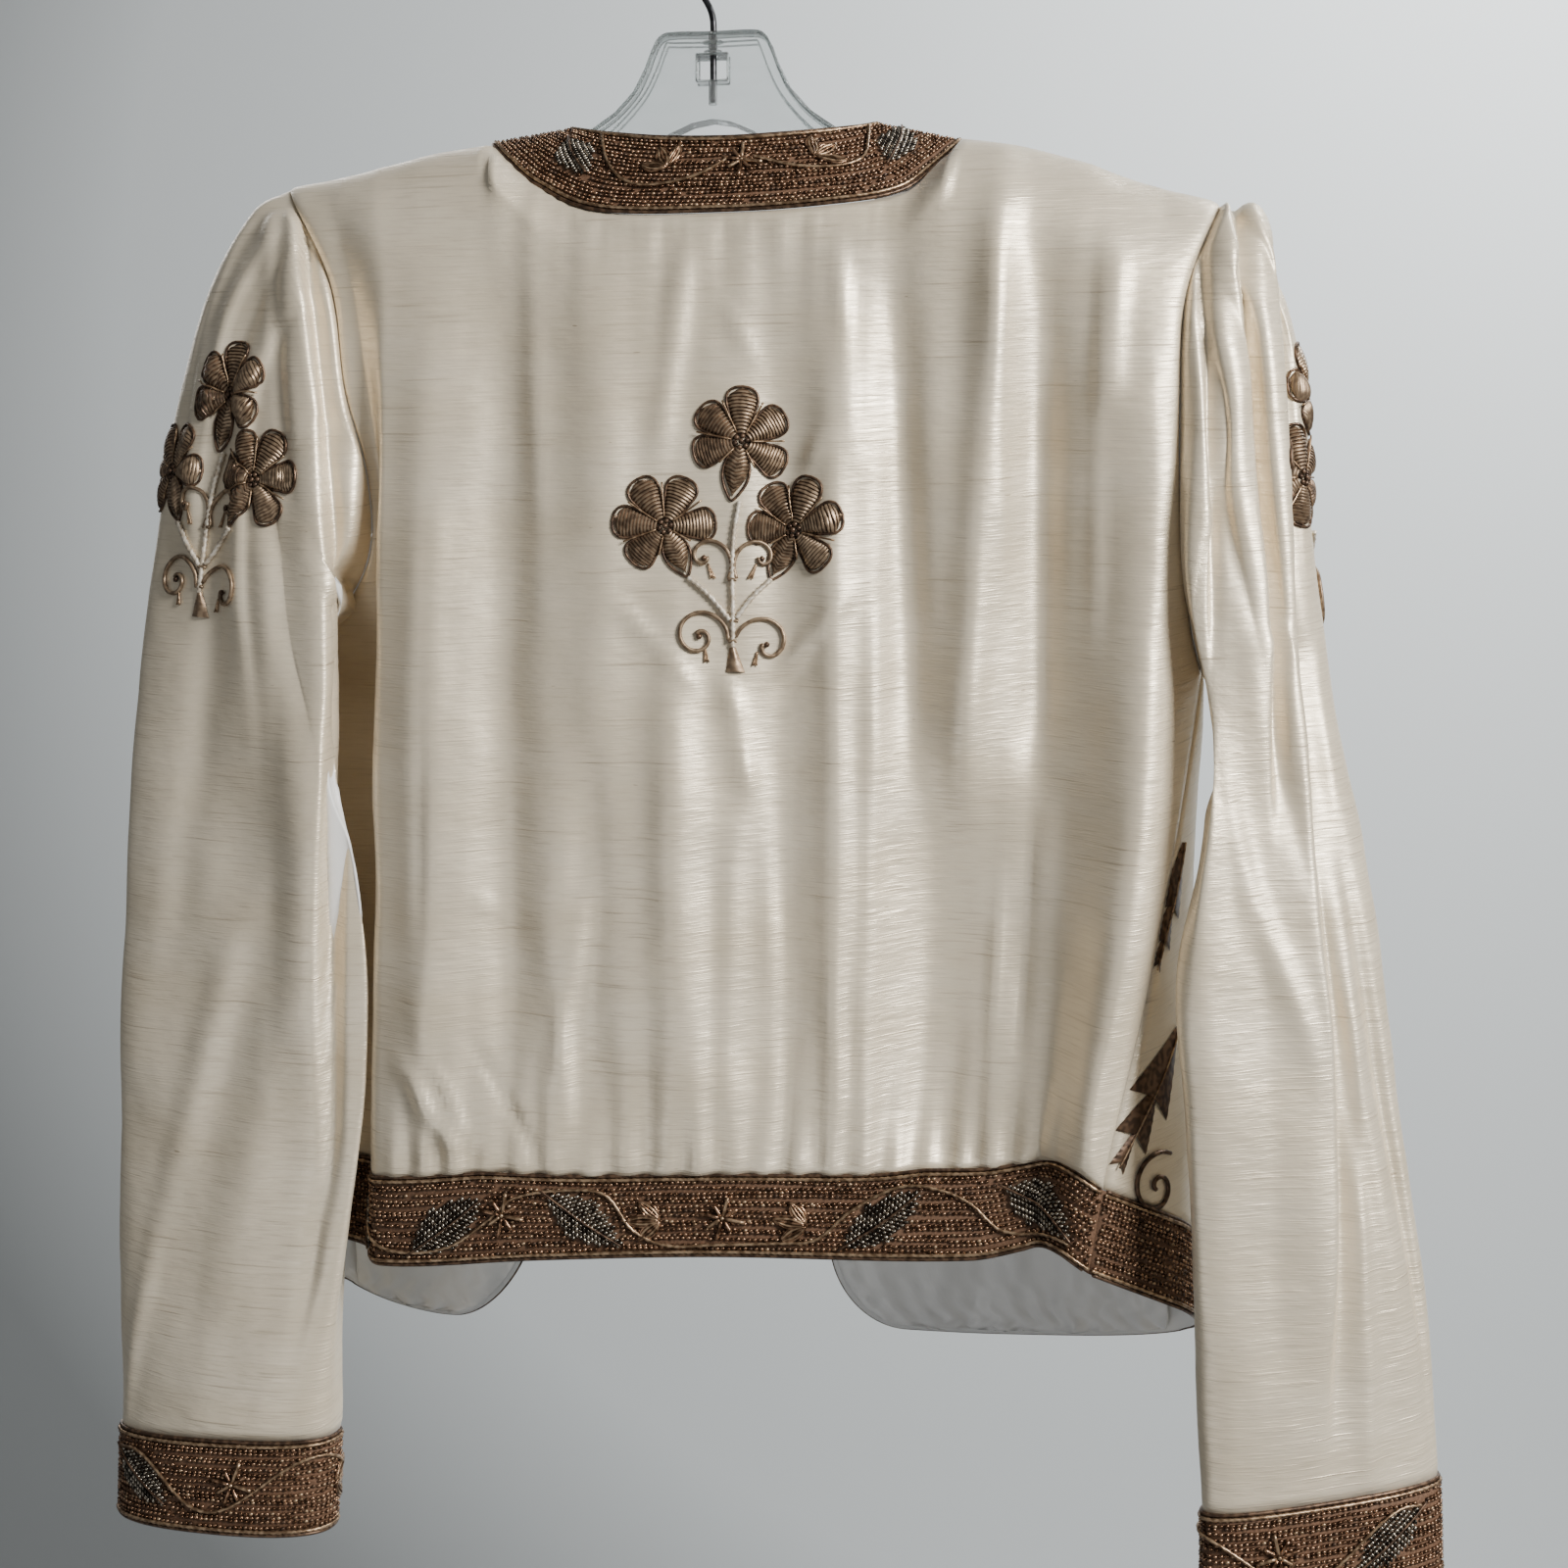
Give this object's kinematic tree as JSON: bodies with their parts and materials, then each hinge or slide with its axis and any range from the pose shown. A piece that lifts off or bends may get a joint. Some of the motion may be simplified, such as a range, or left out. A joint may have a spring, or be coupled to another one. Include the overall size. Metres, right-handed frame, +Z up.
{
  "type": "evening jacket on a hanger",
  "caption": "Short collarless silk evening jacket with beaded borders and raised goldwork sprigs, hung open at the front on a clear hanger with a wire hook.",
  "frame": {"origin": "inner top of the hook's loop, where it rests on a rail", "axes": "+Z up along the hang; +Y towards the wearer's front, so the back faces -Y; +X towards the wearer's right"},
  "size_m": [0.5763, 0.1107, 0.732],
  "materials": {
    "silk": "ivory slubbed silk with a soft sheen",
    "band": "bronze brown beadwork on cloth",
    "satin": "cool white satin",
    "plastic": "clear polished plastic",
    "steel": "dark drawn wire"
  },
  "bodies": {
    "root": {"hook": "steel", "hanger": "plastic", "back": "silk", "back_hem_band": "band", "neck_band": "band", "left_front": "silk", "right_front": "silk", "left_front_band": "band", "right_front_band": "band", "left_lining": "satin", "right_lining": "satin", "left_sleeve": "silk", "right_sleeve": "silk", "left_cuff": "band", "right_cuff": "band"}
  },
  "joints": []
}
